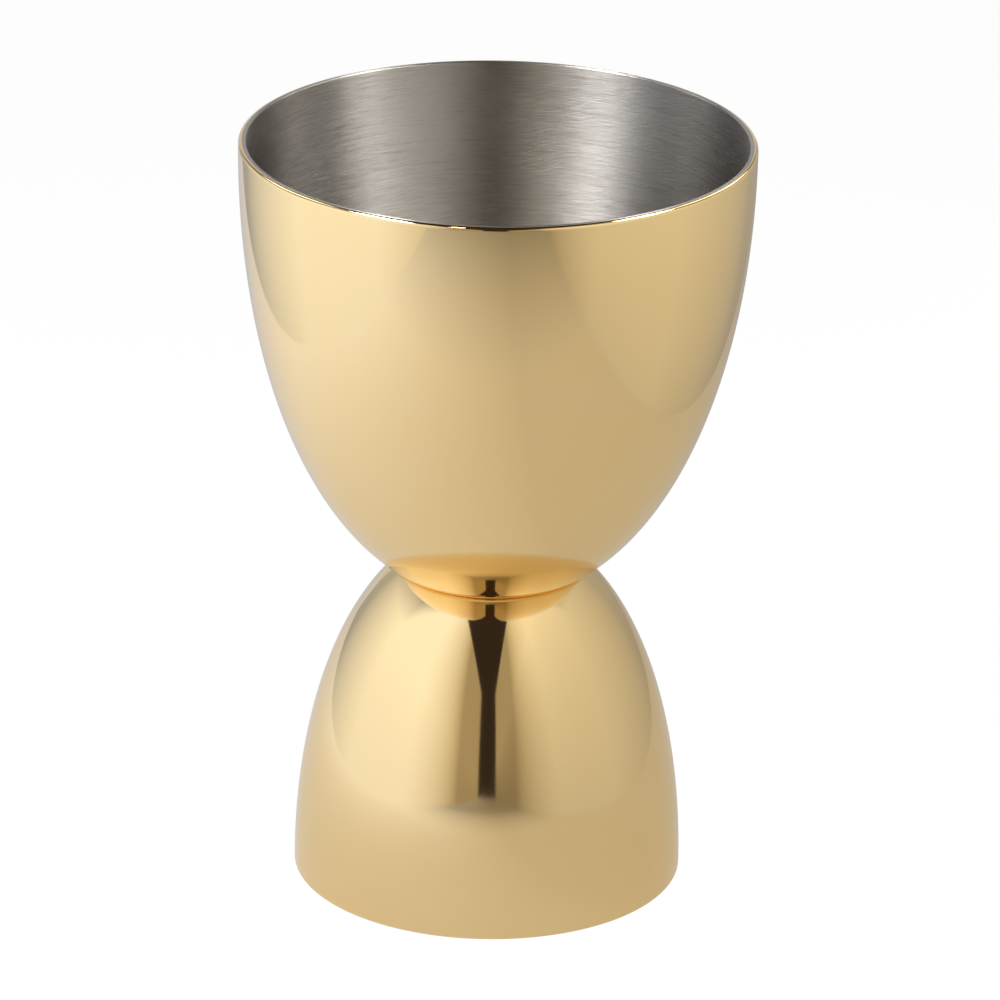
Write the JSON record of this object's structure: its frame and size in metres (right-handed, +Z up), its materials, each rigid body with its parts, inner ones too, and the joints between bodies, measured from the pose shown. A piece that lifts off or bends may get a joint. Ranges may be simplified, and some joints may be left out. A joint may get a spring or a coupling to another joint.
{
  "type": "bar jigger",
  "caption": "Double bell jigger: a large and a small drawn steel cup welded bottom to bottom, mirror gold outside and bare brushed steel inside, for measuring spirits.",
  "frame": {"origin": "centre of the small cup's rim circle, on the plane the jigger stands on, directly under the axis", "axes": "+Z up along the common axis of both cups, from the small cup's rim to the large cup's mouth; X and Y are free, because the part is a surface of revolution"},
  "size_m": [0.052, 0.052, 0.0788],
  "materials": {
    "gold_coated_steel": "polished",
    "weld_steel": "matte"
  },
  "bodies": {
    "root": {"large_cup": "gold_coated_steel", "small_cup": "gold_coated_steel", "waist_weld": "weld_steel"}
  },
  "joints": []
}
